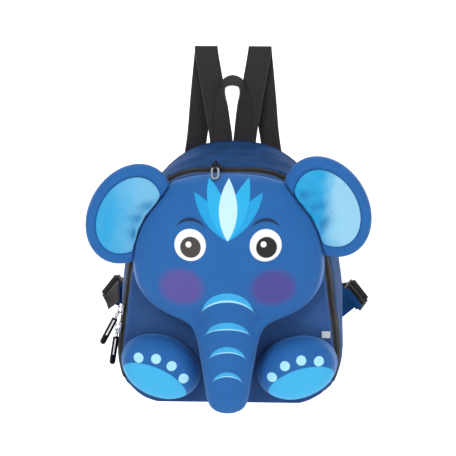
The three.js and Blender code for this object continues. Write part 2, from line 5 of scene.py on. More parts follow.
import bmesh
import bpy
import numpy as np
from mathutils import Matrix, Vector


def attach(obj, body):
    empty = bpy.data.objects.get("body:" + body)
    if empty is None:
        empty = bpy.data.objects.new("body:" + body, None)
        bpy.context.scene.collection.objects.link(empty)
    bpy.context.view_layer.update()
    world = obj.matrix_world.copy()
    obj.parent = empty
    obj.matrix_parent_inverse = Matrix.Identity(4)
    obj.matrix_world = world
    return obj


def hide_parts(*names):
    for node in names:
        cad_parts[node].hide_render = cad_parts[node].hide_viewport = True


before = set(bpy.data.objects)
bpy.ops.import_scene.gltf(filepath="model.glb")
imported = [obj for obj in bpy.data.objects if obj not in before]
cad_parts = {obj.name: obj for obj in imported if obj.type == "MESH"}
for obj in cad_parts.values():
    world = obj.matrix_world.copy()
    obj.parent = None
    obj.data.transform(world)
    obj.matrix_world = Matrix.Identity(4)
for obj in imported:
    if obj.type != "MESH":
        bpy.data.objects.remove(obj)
scene = bpy.context.scene
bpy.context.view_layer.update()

# Sizes are millimetres in the bag's own frame: y = 0 halves its depth, z = 0 is the strap folds
MM = 0.001
TO_MM = 1000.0
HANG_Y = 54.5
FRONT_Y = -48.0
BACK_Y = 47.3
BASE_Z = -370.0
WIDEST_Z = -290.0
LOWER_END_Z = -374.0
LOWER_POWER = 4.3
GAP = 0.3
SEAT_Y = FRONT_Y - GAP
WALL = 2.4

# Bag outline at each depth: y, half width, top, power of the upper curve, shift to the right, and
# lean, which is how much narrower the sides stand at the top than at the widest line
BAG_SECTIONS = np.array([
    (-48.0, 108.5, -121.0, 3.9, -1.0, 0.19),
    (-45.0, 110.0, -120.4, 3.9, -1.0, 0.19),
    (-31.0, 117.2, -117.5, 3.8, -0.8, 0.19),
    (-5.0, 119.8, -111.5, 2.95, 0.7, 0.07),
    (25.0, 120.2, -105.5, 2.6, 1.6, 0.04),
    (47.3, 115.5, -102.0, 2.4, 2.0, 0.0),
])
# How far the sides go on leaning below the widest line, as a share of the height above it
LEAN_BELOW = 0.12
ZIP_FRONT_Y = -45.4
ZIP_BACK_Y = -31.0
ZIP_END_Z = -345.0
COIL_Y = -38.0
# Points at which the outline is measured, and a band round it, along and across
OUTLINE_STEPS = 4001
BAND_STEPS = (2001, 41)

# Helpers that make meshes


def to_frame(points):
    """Bag-frame millimetres to the row's metres."""
    return (np.asarray(points, float) - (0.0, HANG_Y, 0.0)) * MM


def placed(name, data):
    """New object in the scene."""
    obj = bpy.data.objects.new(name, data)
    scene.collection.objects.link(obj)
    return obj


def settle(obj, nodes):
    """Ties a new piece to the body and hides the nodes it stands for."""
    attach(obj, "root")
    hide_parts(*nodes)
    return obj


def finished(name, mesh, shape, material, sharp_deg=40.0):
    """Object with an edited mesh, smooth shaded, with its faces turned outward."""
    bmesh.ops.recalc_face_normals(shape, faces=shape.faces)
    shape.to_mesh(mesh)
    shape.free()
    mesh.shade_smooth()
    mesh.set_sharp_from_angle(angle=math.radians(sharp_deg))
    mesh.materials.append(material)
    return placed(name, mesh)


def add_mesh(name, points, faces, material, corner_uv, sharp_deg, marks):
    """Mesh object from bag-frame points."""
    mesh = bpy.data.meshes.new(name)
    mesh.from_pydata(to_frame(points).tolist(), [], faces)
    for mark, values in marks.items():
        layer = mesh.attributes.new(mark, "FLOAT", "POINT")
        layer.data.foreach_set("value", values)
    layer = mesh.uv_layers.new(name="UVMap")
    layer.data.foreach_set("uv", (np.asarray(corner_uv) * MM).ravel())
    shape = bmesh.new()
    shape.from_mesh(mesh)
    return finished(name, mesh, shape, material, sharp_deg)


def grid_faces(rows, cols, loop_rows):
    """Corner numbers of the quads over closed rings, and each corner's unwrapped row and column."""
    row = np.arange(rows if loop_rows else rows - 1)[:, None]
    col = np.arange(cols)[None, :]
    corners = [(row, col), (row + 1, col), (row + 1, col + 1), (row, col + 1)]
    number = [(r % rows) * cols + (c % cols) for r, c in corners]
    place = [np.stack(np.broadcast_arrays(r, c), -1) for r, c in corners]
    return np.stack(number, -1).reshape(-1, 4), np.stack(place, 2).reshape(-1, 2)


def run_lengths(points, axis):
    """Length run along an axis of a grid, with one more entry for the closing span."""
    closed = np.concatenate([points, np.take(points, [0], axis)], axis)
    steps = np.linalg.norm(np.diff(closed, axis=axis), axis=-1)
    start = np.zeros_like(np.take(steps, [0], axis))
    return np.concatenate([start, np.cumsum(steps, axis)], axis)


def add_grid(name, rings, material, loop_rows=False, sharp_deg=40.0, marks=None):
    """Skin over closed rings of points, capped at both ends unless the rings close on themselves.

    Its UV map holds lengths: round the ring, and along the rings.
    """
    rings = np.asarray(rings, float)
    rows, cols = rings.shape[:2]
    faces, place = grid_faces(rows, cols, loop_rows)
    across = run_lengths(rings, 1)[place[:, 0] % rows, place[:, 1]]
    along = run_lengths(rings, 0)[place[:, 0], place[:, 1] % cols]
    corner_uv = np.stack([across, along], -1).tolist()
    face_list = faces.tolist()
    points = rings.reshape(-1, 3)
    ends = [] if loop_rows else [list(range(cols)), list(range((rows - 1) * cols, rows * cols))]
    hubs = np.zeros(len(ends))
    marks = {mark: np.concatenate([values.ravel(), hubs]) for mark, values in (marks or {}).items()}
    for ring in ends:
        hub = len(points)
        points = np.vstack([points, points[ring].mean(0)])
        for first, second in zip(ring, ring[1:] + ring[:1]):
            face_list.append([hub, first, second])
            corner_uv += [(points[k][0], points[k][2]) for k in (hub, first, second)]
    return add_mesh(name, points, face_list, material, corner_uv, sharp_deg, marks)


def length_so_far(points):
    """Length run along a line of points, from 0 at the first."""
    steps = np.linalg.norm(np.diff(points, axis=0), axis=-1)
    return np.concatenate([[0.0], np.cumsum(steps)])


def cubic(t, start, end, leave, reach):
    """Curve from start to end, given how it leaves the one and reaches the other."""
    return (
        (2 * t**3 - 3 * t**2 + 1) * start + (t**3 - 2 * t**2 + t) * leave
        + (3 * t**2 - 2 * t**3) * end + (t**3 - t**2) * reach
    )


def smooth_rows(table, keys):
    """Monotone cubic through a table's rows, whose first column is a rising key, at new keys."""
    table = np.asarray(table, float)
    x, y = table[:, 0], table[:, 1:]
    step = np.diff(x)[:, None]
    slope = np.diff(y, axis=0) / step
    inner = slope[:-1] * slope[1:]
    total = slope[:-1] + slope[1:]
    mean = np.where(inner > 0, 2 * inner / np.where(total == 0, 1, total), 0)
    tangent = np.vstack([slope[:1], mean, slope[-1:]])
    keys = np.asarray(keys, float)
    at = np.clip(np.searchsorted(x, keys, side="right") - 1, 0, len(x) - 2)
    width = step[at]
    t = ((keys - x[at]) / width[:, 0])[:, None]
    return cubic(t, y[at], y[at + 1], width * tangent[at], width * tangent[at + 1])


def ripples(seed, waves, wavelength, *axes):
    """Smooth random waves over one to three coordinates, about -1 to 1, the same on each run."""
    draw = np.random.default_rng(seed)
    total = 0.0
    for _ in range(waves):
        heading = draw.normal(size=len(axes))
        heading /= np.linalg.norm(heading)
        pitch = wavelength * draw.uniform(0.7, 1.5)
        phase = draw.uniform(0, math.tau)
        path = sum(part * axis for part, axis in zip(heading, axes))
        total = total + np.sin(math.tau * path / pitch + phase)
    return total / math.sqrt(waves)


def bump_at(distance, width):
    """Soft bell of the given half width."""
    return np.exp(-((distance / width) ** 2))


def bell(along, across, semi):
    """Soft bell over two directions."""
    return np.exp(-((along / semi[0]) ** 2) - (across / semi[1]) ** 2)


def bag_points(angle, y, inset=0.0):
    """Points of the bag's skin by angle round the outline, depth, and distance in from the skin."""
    angle, y, inset = np.broadcast_arrays(np.asarray(angle, float), y, inset)
    columns = (np.interp(y, BAG_SECTIONS[:, 0], column) for column in BAG_SECTIONS.T[1:])
    half, top, power, shift, lean = columns
    cos, sin = np.cos(angle), np.sin(angle)
    exponent = 2 / np.where(sin >= 0, power, LOWER_POWER)
    rise = np.where(sin >= 0, top - WIDEST_Z, WIDEST_Z - LOWER_END_Z) - inset
    z = WIDEST_Z + rise * np.sign(sin) * np.abs(sin) ** exponent
    height = np.maximum((z - WIDEST_Z) / (top - WIDEST_Z), -LEAN_BELOW)
    half_here = (half - inset) * (1.0 - lean * height)
    x = shift + half_here * np.sign(cos) * np.abs(cos) ** exponent
    return np.stack([x, y, np.maximum(z, BASE_Z + inset)], -1)


def even_angles(y, count, start=0.0, end=math.tau):
    """Angles that space the outline's points evenly by length."""
    fine = np.linspace(start, end, OUTLINE_STEPS)
    run = length_so_far(bag_points(fine, y))
    return np.interp(np.linspace(0, run[-1], count), run, fine)


def cut_size(start, end, front, back):
    """Flat width and length, in metres, of a band between two depths on a stretch of outline."""
    angles = np.linspace(start, end, BAND_STEPS[0])[:, None]
    skin = bag_points(angles, np.linspace(front, back, BAND_STEPS[1])[None, :])
    width = np.linalg.norm(np.diff(skin, axis=1), axis=-1).sum(1).mean()
    length = np.linalg.norm(np.diff(skin, axis=0), axis=-1).sum(0).mean()
    return width * MM, length * MM


# Helpers that make materials from node maths


class Wire:
    """A node's output that can be used in a sum."""

    def __init__(self, socket):
        self.socket = socket
        self.tree = socket.id_data

    def __add__(self, other):
        return calc("ADD", self, other)

    def __sub__(self, other):
        return calc("SUBTRACT", self, other)

    def __rsub__(self, other):
        return calc("SUBTRACT", other, self)

    def __mul__(self, other):
        return calc("MULTIPLY", self, other)


def feed(socket, value):
    """Links a wire to a socket, or sets the socket's own value."""
    if isinstance(value, Wire):
        value.tree.links.new(value.socket, socket)
    else:
        socket.default_value = value


def calc(operation, *values):
    tree = next(value.tree for value in values if isinstance(value, Wire))
    made = tree.nodes.new("ShaderNodeMath")
    made.operation = operation
    for socket, value in zip(made.inputs, values):
        feed(socket, value)
    return Wire(made.outputs[0])


def soft_step(value, low, high):
    """0 below low, 1 above high, and a smooth slope between."""
    made = value.tree.nodes.new("ShaderNodeMapRange")
    made.interpolation_type = "SMOOTHSTEP"
    feed(made.inputs["Value"], value)
    feed(made.inputs["From Min"], low)
    feed(made.inputs["From Max"], high)
    return Wire(made.outputs["Result"])


def inside(distance, soft=0.35):
    """1 where a signed distance is below zero."""
    return 1.0 - soft_step(distance, -soft, soft)


def sine(value, pitch):
    return calc("SINE", value * (math.tau / pitch))


def away(x, z, centre):
    """Distance from a point in the picture plane."""
    across = x - centre[0]
    up = z - centre[1]
    return calc("SQRT", across * across + up * up)


def turned(x, z, centre, degrees):
    """Coordinates along and across a direction from a centre, for wires or arrays."""
    cos, sin = math.cos(math.radians(degrees)), math.sin(math.radians(degrees))
    right = x - centre[0]
    up = z - centre[1]
    return right * cos + up * sin, up * cos - right * sin


def oval(x, z, centre, semi):
    """Signed distance, about right near the edge, from a level ellipse."""
    across = (x - centre[0]) * (1 / semi[0])
    up = (z - centre[1]) * (1 / semi[1])
    return (calc("SQRT", across * across + up * up) - 1.0) * min(semi)


def crescent(x, z, ends, half_span, top_rise, bottom_rise):
    """Signed distance from a crescent on a level chord, given by the rise of its two arcs."""
    arcs = []
    for rise in (top_rise, bottom_rise):
        radius = (half_span**2 + rise**2) / (2 * rise)
        arcs.append(away(x, z, (ends[0], ends[1] + rise - radius)) - radius)
    return calc("MAXIMUM", arcs[0], arcs[1] * -1.0)


def leaf(x, z, base, degrees, length, half_width):
    """Signed distance from a pointed leaf that grows from its base in a direction."""
    along, across = turned(x, z, base, degrees)
    radius = (length**2 / 4 + half_width**2) / (2 * half_width)
    shift = radius - half_width
    sides = [away(along, across, (length / 2, side * shift)) - radius for side in (-1, 1)]
    return calc("MAXIMUM", *sides)


def mixed(mask, under, over):
    """Colour over another where the mask is 1."""
    made = mask.tree.nodes.new("ShaderNodeMix")
    made.data_type = "RGBA"
    feed(made.inputs[0], mask)
    feed(made.inputs[6], under)
    feed(made.inputs[7], over)
    return Wire(made.outputs[2])


def paint(code):
    """Linear colour from a screen colour's six-digit code."""
    parts = [int(code[k:k + 2], 16) / 255 for k in (0, 2, 4)]
    return (*[p / 12.92 if p <= 0.04045 else ((p + 0.055) / 1.055) ** 2.4 for p in parts], 1.0)


class Finish:
    """A material whose colour and relief are built up in layers.

    Its sheen is given as weight and roughness.
    """

    def __init__(self, name, code, roughness, sheen=(0.0, 0.5), specular=0.5, **sockets):
        self.material = bpy.data.materials.new(name)
        self.material.use_nodes = True
        self.tree = self.material.node_tree
        self.shader = self.tree.nodes["Principled BSDF"]
        sockets["Roughness"], sockets["Specular IOR Level"] = roughness, specular
        sockets["Sheen Weight"], sockets["Sheen Roughness"] = sheen
        for socket, value in sockets.items():
            feed(self.shader.inputs[socket], value)
        self.color = paint(code)
        places = self.tree.nodes.new("ShaderNodeTexCoord").outputs["Object"]
        x, y, z = self.split(places)
        self.x, self.y, self.z = x * TO_MM, y * TO_MM + HANG_Y, z * TO_MM
        self.place = Wire(places)
        u, v, _ = self.split(self.tree.nodes.new("ShaderNodeUVMap").outputs["UV"])
        self.u, self.v = u * TO_MM, v * TO_MM

    def split(self, socket):
        made = self.tree.nodes.new("ShaderNodeSeparateXYZ")
        self.tree.links.new(socket, made.inputs[0])
        return [Wire(out) for out in made.outputs]

    def clouds(self, place, scale, detail=2.0):
        """Random values from 0 to 1."""
        made = self.tree.nodes.new("ShaderNodeTexNoise")
        feed(made.inputs["Vector"], place)
        feed(made.inputs["Scale"], scale)
        feed(made.inputs["Detail"], detail)
        return Wire(made.outputs["Fac"])

    def noise(self, size, detail=2.0):
        """Clouds whose patches are about the given size in millimetres."""
        return self.clouds(self.place, TO_MM / size, detail)

    def streaks(self, across, along):
        """Clouds drawn out to the given width and length over the UV lengths."""
        place = self.tree.nodes.new("ShaderNodeCombineXYZ")
        feed(place.inputs["X"], self.u * (1 / across))
        feed(place.inputs["Y"], self.v * (1 / along))
        return self.clouds(Wire(place.outputs[0]), 1.0)

    def mark(self, name):
        """A value that the mesh carries at its points."""
        made = self.tree.nodes.new("ShaderNodeAttribute")
        made.attribute_name = name
        return Wire(made.outputs["Fac"])

    def layer(self, mask, code):
        self.color = mixed(mask, self.color, paint(code))

    def done(self, relief=None, depth=0.1):
        """Connects the colour, and a relief whose height of 1 is the given millimetres."""
        feed(self.shader.inputs["Base Color"], self.color)
        if relief is not None:
            bump = self.tree.nodes.new("ShaderNodeBump")
            feed(bump.inputs["Distance"], depth * MM)
            feed(bump.inputs["Height"], relief)
            self.tree.links.new(bump.outputs["Normal"], self.shader.inputs["Normal"])
        return self.material


def weave(finish, pitch):
    """Height of a plain weave over the UV lengths."""
    return sine(finish.u, pitch) * sine(finish.v, pitch)


def knit(finish, pitch):
    """Height of a fine knit over places on the surface."""
    return sine(finish.x + finish.z, pitch) * sine(finish.x - finish.z, pitch)


# Materials

# Face prints: eyes, brows, cheeks, and the crescents down the trunk
# The left pupil is lighter than the right as a painted reflection
EYES = [
    {"centre": (-38.2, -188.6), "pupil": (-37.8, -190.9), "glint": (-39.9, -188.1), "tone": "49433f"},
    {"centre": (39.4, -188.2), "pupil": (40.3, -190.3), "glint": (37.2, -187.1), "tone": "262322"},
]
EYE_RADIUS, PUPIL_RADIUS, GLINT_RADIUS = 16.3, 10.7, 3.0
# Chord height of the brows; their half span, rise of the top and of the bottom arc
BROW_Z, BROW_ARCS = -170.7, (14.8, 9.7, 6.0)
# The right cheek is darker than the left as painted shade
CHEEKS = [(47.6, "4b4791"), (-47.6, "58509a")]
CHEEK_Z, CHEEK_SEMI, CHEEK_BLUR = -233.0, (22.8, 19.0), 5.0
TRUNK_X = 0.5
# Chord height, half span, rise of the top and of the bottom arc; the pale edge rises a little more
TRUNK_CRESCENTS = [
    (-257.9, 26.5, 21.9, 12.7),
    (-281.6, 22.3, 15.2, 7.5),
    (-305.8, 18.3, 13.0, 6.6),
    (-330.4, 14.5, 10.5, 5.6),
]
PALE_EDGE_RISE = 1.16
# Fan of leaves on the brow: direction, length, half width, colour
FAN_BASE = (TRUNK_X, -184.0)
FAN_LEAVES = [
    (127.0, 59.0, 7.4, "1f9fdc"),
    (53.0, 59.0, 7.4, "1f9fdc"),
    (109.0, 64.0, 8.8, "2aaee4"),
    (71.0, 64.0, 8.8, "2aaee4"),
    (90.0, 60.0, 9.4, "c4ebf6"),
]


def neoprene(name):
    """Blue knit face cloth with a faint heather."""
    finish = Finish(name, "1d5ea2", 0.74, sheen=(0.08, 0.4), specular=0.28)
    finish.layer(soft_step(finish.noise(26.0), 0.3, 0.7) * 0.16, "2b70b8")
    finish.layer(soft_step(finish.noise(1.5, 3.0), 0.42, 0.66) * 0.22, "2f77bd")
    return finish


def neoprene_done(finish):
    return finish.done(knit(finish, 1.1) * 0.5 + finish.noise(0.9, 3.0), 0.12)


def head_finish():
    finish = neoprene("neoprene_face")
    x, z = finish.x, finish.z
    for cheek_x, code in CHEEKS:
        finish.layer(inside(oval(x, z, (cheek_x, CHEEK_Z), CHEEK_SEMI), CHEEK_BLUR), code)
    for degrees, length, half_width, code in FAN_LEAVES:
        finish.layer(inside(leaf(x, z, FAN_BASE, degrees, length, half_width)), code)
    for chord, half_span, top_rise, bottom_rise in TRUNK_CRESCENTS:
        ends = (TRUNK_X, chord)
        whole = crescent(x, z, ends, half_span, top_rise, bottom_rise)
        finish.layer(inside(whole), "3aa9e2")
        edge = crescent(x, z, ends, half_span, bottom_rise * PALE_EDGE_RISE, bottom_rise)
        finish.layer(inside(edge), "a6e0f4")
    for eye in EYES:
        finish.layer(inside(away(x, z, eye["centre"]) - EYE_RADIUS), "f4f5f6")
        finish.layer(inside(away(x, z, eye["pupil"]) - PUPIL_RADIUS), eye["tone"])
        finish.layer(inside(away(x, z, eye["glint"]) - GLINT_RADIUS), "ffffff")
        brow = crescent(x, z, (eye["centre"][0], BROW_Z), *BROW_ARCS)
        finish.layer(inside(brow), "173257")
    # Painted highlight along the seam bead round the head's rim
    finish.layer(finish.mark("seam") * 0.5, "6397d0")
    return neoprene_done(finish)


# Foot print, along and across the foot from its middle
SOLE_CENTRE, SOLE_SEMI = (0.0, -13.0), (36.0, 17.0)
FOOT_NAILS = (-26.0, -9.0, 9.0, 26.0)
NAIL_RADIUS = 5.2
NAIL_LINE, NAIL_BEND = 13.0, 0.012


def foot_finish(foot):
    """Blue foot with a smooth-edged half-moon sole and pale round toenails over it."""
    finish = neoprene("neoprene_foot_" + foot["side"])
    along, across = turned(finish.x, finish.z, foot["centre"], foot["turn"])
    finish.layer(inside(oval(along, across, SOLE_CENTRE, SOLE_SEMI)), "3fb0e4")
    for nail in FOOT_NAILS:
        centre = (nail, NAIL_LINE - NAIL_BEND * nail**2)
        finish.layer(inside(away(along, across, centre) - NAIL_RADIUS), "a9e2f5")
    # Painted highlight along the seam bead round the foot
    finish.layer(finish.mark("seam") * 0.45, "6397d0")
    return neoprene_done(finish)


def ear_finish():
    finish = neoprene("neoprene_ear")
    # Painted shade in the groove between the ear's border and its lining
    finish.layer(finish.mark("seam") * 0.35, "1c4a8c")
    return neoprene_done(finish)


def satin_finish(ear):
    """Satin with a painted sheen highlight that pales it across the ear, and painted shade in its
    dents.
    """
    name = "satin_" + ear["side"]
    finish = Finish(name, "0c9fd8", 0.34, sheen=(0.05, 0.3), specular=0.45, Anisotropic=0.4)
    start, end, strength = ear["pale"]
    across = finish.x - ear["centre"][0] + (finish.noise(22.0) - 0.5) * 26.0
    # Painted sheen highlight: the lining turns paler towards one side
    finish.layer(soft_step(across, start, end) * strength, "a6daee")
    # Painted shade in the lining's dents
    finish.layer(finish.mark("dent") * 0.85, "0483bf")
    return finish.done(sine(finish.x * 0.7 + finish.z, 0.7) + finish.noise(5.0) * 4.0, 0.06)


def navy_finish(name, code, tone_and_highlight, streaked):
    """Plain woven cloth with lighter patches at random, and faint creases along it that carry a
    painted highlight.
    """
    finish = Finish(name, code, 0.85, sheen=(0.03, 0.5), specular=0.1)
    finish.layer(soft_step(finish.noise(18.0), 0.35, 0.7) * 0.35, tone_and_highlight)
    relief = weave(finish, 1.0) * 0.6 + finish.noise(1.2, 3.0)
    if streaked:
        crease = finish.streaks(5.0, 46.0)
        # Painted highlight along the creases
        finish.layer(soft_step(crease, 0.5, 0.75) * streaked, tone_and_highlight)
        relief = relief + crease * (5.0 * streaked)
    return finish.done(relief, 0.14)


def webbing_finish():
    """Ribbed webbing: fine ribs along it, picks across it, and a painted highlight along the
    selvedge.
    """
    finish = Finish("webbing", "312e2f", 0.85, sheen=(0.04, 0.4), specular=0.15)
    ribs = sine(finish.u, 2.0)
    picks = sine(finish.v + ribs * 0.3, 1.4)
    finish.layer(soft_step(picks * ribs, -0.2, 0.9) * 0.5, "454345")
    # Painted highlight along the selvedge
    finish.layer(finish.mark("selvedge") * 0.35, "8a8586")
    return finish.done(ribs * 0.7 + picks * 0.6, 0.22)


def zip_finish():
    finish = Finish("zip_tape", "1b1a1c", 0.78, sheen=(0.05, 0.5), specular=0.3)
    finish.layer(finish.mark("coil") * 0.6, "343336")
    return finish.done(weave(finish, 0.9), 0.12)


def plastic_finish():
    finish = Finish("moulded_plastic", "1b1b1d", 0.42)
    finish.layer(soft_step(finish.noise(6.0), 0.4, 0.8) * 0.3, "29292c")
    return finish.done(finish.noise(0.5, 2.0), 0.05)


def metal_finish(name, code, worn):
    finish = Finish(name, code, 0.26, Metallic=1.0)
    finish.layer(soft_step(finish.noise(5.0), 0.45, 0.8) * 0.4, worn)
    return finish


def metal_done(finish):
    return finish.done(finish.noise(0.8, 2.0), 0.02)


# Places along a clip's middle line: where its dark body starts, and the near-white stripe down it
# that is a painted highlight
CLIP_BODY_TOP = 14.8
SLOT_LOW, SLOT_HIGH, SLOT_RADIUS = -4.5, 12.0, 0.75


def clip_finish(pull):
    """Plated link with a dark clip that has a painted highlight down its middle, drawn as a
    near-white, non-metal stripe.
    """
    finish = metal_finish("clip_" + pull["name"], "b9bbbf", "8d9095")
    along, across = turned(finish.x, finish.z, pull["centre"], pull["turn"])
    finish.layer(inside(along - CLIP_BODY_TOP, 0.3), "252123")
    slot = (SLOT_LOW + SLOT_HIGH) / 2
    beyond = calc("MAXIMUM", calc("ABSOLUTE", along - slot) - (SLOT_HIGH - SLOT_LOW) / 2, 0.0)
    edge = calc("SQRT", beyond * beyond + across * across) - SLOT_RADIUS
    # Painted highlight: a near-white stripe, not metal, down the clip's middle
    slot_highlight = inside(edge, 0.25)
    finish.layer(slot_highlight, "f4f1ec")
    feed(finish.shader.inputs["Metallic"], 1.0 - slot_highlight)
    return metal_done(finish)


BROW_LOOP_Y = -57.0


def brow_pull_finish():
    """Dark link and a bright loop at its end."""
    finish = metal_finish("brow_loop", "76797f", "5c5f64")
    finish.layer(soft_step(finish.y, BROW_LOOP_Y - 0.5, BROW_LOOP_Y + 0.5), "29292c")
    return metal_done(finish)


def label_finish():
    finish = Finish("woven_tag", "c2c8ce", 0.8, sheen=(0.1, 0.5))
    finish.layer(soft_step(sine(finish.x, 0.8) * sine(finish.z, 0.8), -0.3, 0.6) * 0.4, "dadee2")
    return finish.done(sine(finish.z, 0.6), 0.06)


# Bag body

PUCKER_PITCH = 9.0
SEAM_REACH = 7.0
RING_STEPS = 421
# Length given to the whole outline where waves run along it
RING_RUN = 900.0


def seam_puckers(run, edge_distance, seed):
    """Short waves that a line of stitches draws into cloth, dying out away from the seam."""
    wave = ripples(seed, 4, PUCKER_PITCH, run)
    return wave * bump_at(edge_distance, SEAM_REACH)


def bag_ring(name, material, start, end, profile, swell, loop):
    """Cloth wall along the bag's outline; its profile lists y, inset and how free the cloth is."""
    angles = even_angles(0.0, RING_STEPS, start, end)
    if loop:
        angles = angles[:-1]
    y, inset, free = (np.array(column) for column in zip(*profile))
    run = np.linspace(0, 1, len(angles))[:, None] * RING_RUN
    out = free[None, :] * swell(run, y[None, :])
    rings = bag_points(angles[:, None], y[None, :], inset[None, :] - out)
    return add_grid(name, rings, material, loop_rows=loop)


GUSSET_NODES = ["gusset_left", "gusset_right"]
GUSSET_FRONT = ZIP_BACK_Y + GAP
GUSSET_BACK = 44.0
HEM = 1.2


def build_gusset(material):
    ys = np.linspace(GUSSET_FRONT, GUSSET_BACK, 40)
    edge = np.minimum(ys - GUSSET_FRONT, GUSSET_BACK - ys)
    profile = [(y, HEM * bump_at(e, 1.1), 1.0) for y, e in zip(ys, edge)]
    profile += [(y, WALL, 0.0) for y in np.linspace(GUSSET_BACK, GUSSET_FRONT, 5)]

    def swell(run, y):
        near = np.minimum(y - GUSSET_FRONT, GUSSET_BACK - y)
        fade = 1 - bump_at(near, 8.0)
        broad = 0.55 * ripples(11, 5, 70.0, run, 1.6 * y)
        broad = broad + 0.25 * ripples(12, 6, 24.0, run * 0.6, y)
        puckers = 0.3 * seam_puckers(run, near, 13)
        stitched_roll = 0.35 * bump_at(near - 3.4, 1.0)
        return fade * (broad - 0.5) + puckers + stitched_roll

    gusset = bag_ring("gusset_cloth", material, 0.0, math.tau, profile, swell, True)
    flat = cut_size(0.0, math.tau, GUSSET_FRONT, GUSSET_BACK)
    settle(gusset, GUSSET_NODES)


# Panels: depth and inset of the turned edge, way into the bag, area of the cut cloth in square metres
PANELS = {
    "front": ([(-45.7, 0.0), (-46.8, 0.0), (-47.6, 0.35), (FRONT_Y, 1.2)], 1.0, 0.049),
    "back": ([(44.3, 0.0), (46.1, 0.0), (46.95, 0.35), (BACK_Y, 1.2)], -1.0, 0.054),
}
PANEL_STEPS = 241
PANEL_SPACING = 3.2
PANEL_MIDDLE_Z = -255.0
PANEL_REACH = 105.0
# Sizes of the rings inside the rim, close together near the seam
PANEL_SHARES = np.concatenate([np.linspace(0.985, 0.86, 8), np.linspace(0.8, 0.06, 12)])
DEEPEST_DENT = 1.3


def build_panel(side, material):
    """Flat panel with a turned edge, dented a little by its seams."""
    edge, inward, area = PANELS[side]
    face_y = edge[-1][0]
    angles = even_angles(face_y, PANEL_STEPS)[:-1]
    rings = [bag_points(angles, y, inset) for y, inset in edge]
    rim = rings[-1]
    middle = np.array([0.0, face_y, PANEL_MIDDLE_Z])
    for share in PANEL_SHARES:
        ring = middle + (rim - middle) * share
        x, z = ring[:, 0], ring[:, 2]
        near = (1 - share) * PANEL_REACH
        dent = 0.55 + 0.45 * ripples(21, 6, 46.0, x, z)
        puckers = 0.35 * seam_puckers(np.arange(len(x)) * PANEL_SPACING, near, 22)
        dent = dent * (1 - bump_at(near, SEAM_REACH)) + puckers + 0.2
        ring[:, 1] = face_y + inward * np.clip(dent, 0.0, DEEPEST_DENT)
        rings.append(ring)
    panel = settle(add_grid(side + "_cloth", rings, material), [side + "_panel"])
    low, high = rim.min(0), rim.max(0)
    flat = ((high[0] - low[0]) * MM, (high[2] - low[2]) * MM)


def lower_angle(z):
    """Angle below the horizontal at which the outline's lower half reaches a height."""
    return math.asin(((WIDEST_Z - z) / (WIDEST_Z - LOWER_END_Z)) ** (LOWER_POWER / 2))


COIL_HALF = 2.6
COIL_HEIGHT = 1.6
TOOTH_PITCH = 1.7
ZIP_TAPE = 2.0
ZIP_STEPS = 1500
TAPE_SAG = 0.4


def build_zip(material):
    """Zip tape with its two rows of coil, up one side, over the brow and down the other."""
    end = lower_angle(ZIP_END_Z)
    angles = even_angles(COIL_Y, ZIP_STEPS, -end, math.pi + end)
    run = length_so_far(bag_points(angles, COIL_Y))
    front = np.linspace(ZIP_FRONT_Y, COIL_Y - COIL_HALF, 5)
    coil = COIL_Y + np.linspace(-1, 1, 15)[1:-1] * COIL_HALF
    back = np.linspace(COIL_Y + COIL_HALF, ZIP_BACK_Y, 5)
    y = np.concatenate([front, coil, back, [ZIP_BACK_Y, ZIP_FRONT_Y]])
    inset = np.where(np.arange(len(y)) >= len(y) - 2, ZIP_TAPE, 0.0)
    off = np.abs(y - COIL_Y) / COIL_HALF
    dome = np.where((off < 1) & (inset == 0), (1 - np.minimum(off, 1) ** 4) ** 0.5, 0.0)
    groove = 0.5 + 0.5 * np.minimum(off / 0.3, 1)
    half_tooth_on = np.where(y > COIL_Y, math.pi, 0.0)
    tooth = 0.5 + 0.5 * np.sin(math.tau * run[:, None] / TOOTH_PITCH + half_tooth_on)
    height = COIL_HEIGHT * dome * groove * (0.5 + 0.5 * tooth)
    cloth = (inset == 0) & (dome == 0)
    sag = np.clip(0.35 * ripples(31, 4, 60.0, run)[:, None] * cloth, -TAPE_SAG, TAPE_SAG)
    rings = bag_points(angles[:, None], y, inset - height - sag + TAPE_SAG * cloth)
    marks = {"coil": np.broadcast_to((dome > 0) * 1.0, rings.shape[:2])}
    tape = settle(add_grid("zip_tape", rings, material, marks=marks), ["main_zip"])
    flat = cut_size(-end, math.pi + end, ZIP_FRONT_Y, ZIP_BACK_Y)


# Angle left between the zip's end and the bottom strip
STRIP_GAP = 0.004


def build_bottom(material):
    end = lower_angle(ZIP_END_Z) + STRIP_GAP
    start, stop = math.pi + end, math.tau - end
    ys = np.linspace(ZIP_FRONT_Y, ZIP_BACK_Y, 12)
    profile = [(y, 0.5 * bump_at(min(y - ys[0], ys[-1] - y), 1.0), 1.0) for y in ys]
    profile += [(ZIP_BACK_Y, ZIP_TAPE, 0.0), (ZIP_FRONT_Y, ZIP_TAPE, 0.0)]

    def swell(run, y):
        return 0.2 * ripples(41, 5, 30.0, run, y) - 0.2

    strip = bag_ring("bottom_cloth", material, start, stop, profile, swell, False)
    settle(strip, ["bottom_strip"])
    flat = cut_size(start, stop, ZIP_FRONT_Y, ZIP_BACK_Y)


# Head, ears and feet


def add_padded(name, node, rings, material, marks):
    """Padded piece that stands for one node; only its steepest edges are drawn sharp."""
    piece = add_grid(name, rings, material, marks=marks, sharp_deg=70.0)
    settle(piece, [node])


